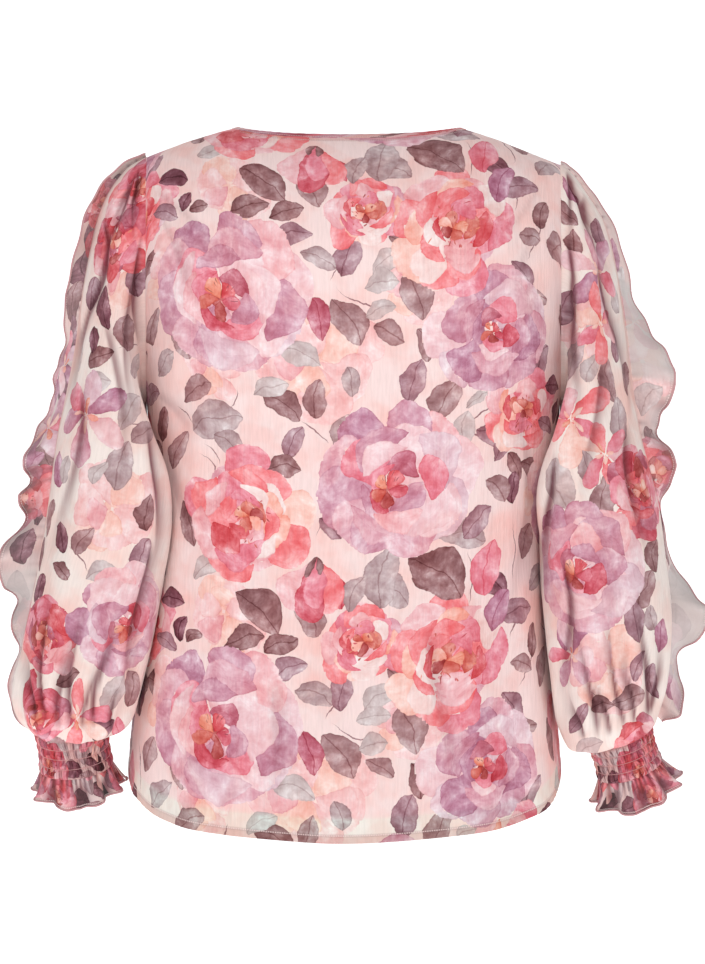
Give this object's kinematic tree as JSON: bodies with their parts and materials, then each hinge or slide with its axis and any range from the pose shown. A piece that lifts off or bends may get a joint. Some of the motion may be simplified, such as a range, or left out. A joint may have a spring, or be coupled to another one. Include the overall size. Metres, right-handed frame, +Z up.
{
  "type": "ruffle-sleeved blouse",
  "caption": "Loose blouse filled out as worn, with a wide neckline, balloon sleeves that each carry a ruffle, smocked frilled cuffs, a lined body and a curved shirt-tail hem.",
  "frame": {"origin": "midway between the two neck points, at the height where the shoulders carry the cloth", "axes": "+Z up; the front of the blouse faces +Y and its back faces -Y; the wearer's right sleeve is on the +X side"},
  "size_m": [0.7248, 0.3052, 0.7317],
  "materials": {
    "body_chiffon": "matte crinkled chiffon, flower print",
    "sleeve_chiffon": "matte crinkled chiffon, flower print, slightly sheer",
    "ruffle_chiffon": "matte crinkled chiffon, paler reverse side",
    "lining": "plain soft lining",
    "binding": "turned and stitched chiffon"
  },
  "bodies": {
    "root": {"back_panel": "body_chiffon", "front_panel": "body_chiffon", "lining_back": "lining", "lining_front": "lining", "neck_binding": "binding", "sleeve_back_left": "sleeve_chiffon", "sleeve_front_left": "sleeve_chiffon", "ruffle_left": "ruffle_chiffon", "cuff_left": "sleeve_chiffon", "cuff_frill_left": "ruffle_chiffon", "sleeve_back_right": "sleeve_chiffon", "sleeve_front_right": "sleeve_chiffon", "ruffle_right": "ruffle_chiffon", "cuff_right": "sleeve_chiffon", "cuff_frill_right": "ruffle_chiffon"}
  },
  "joints": []
}
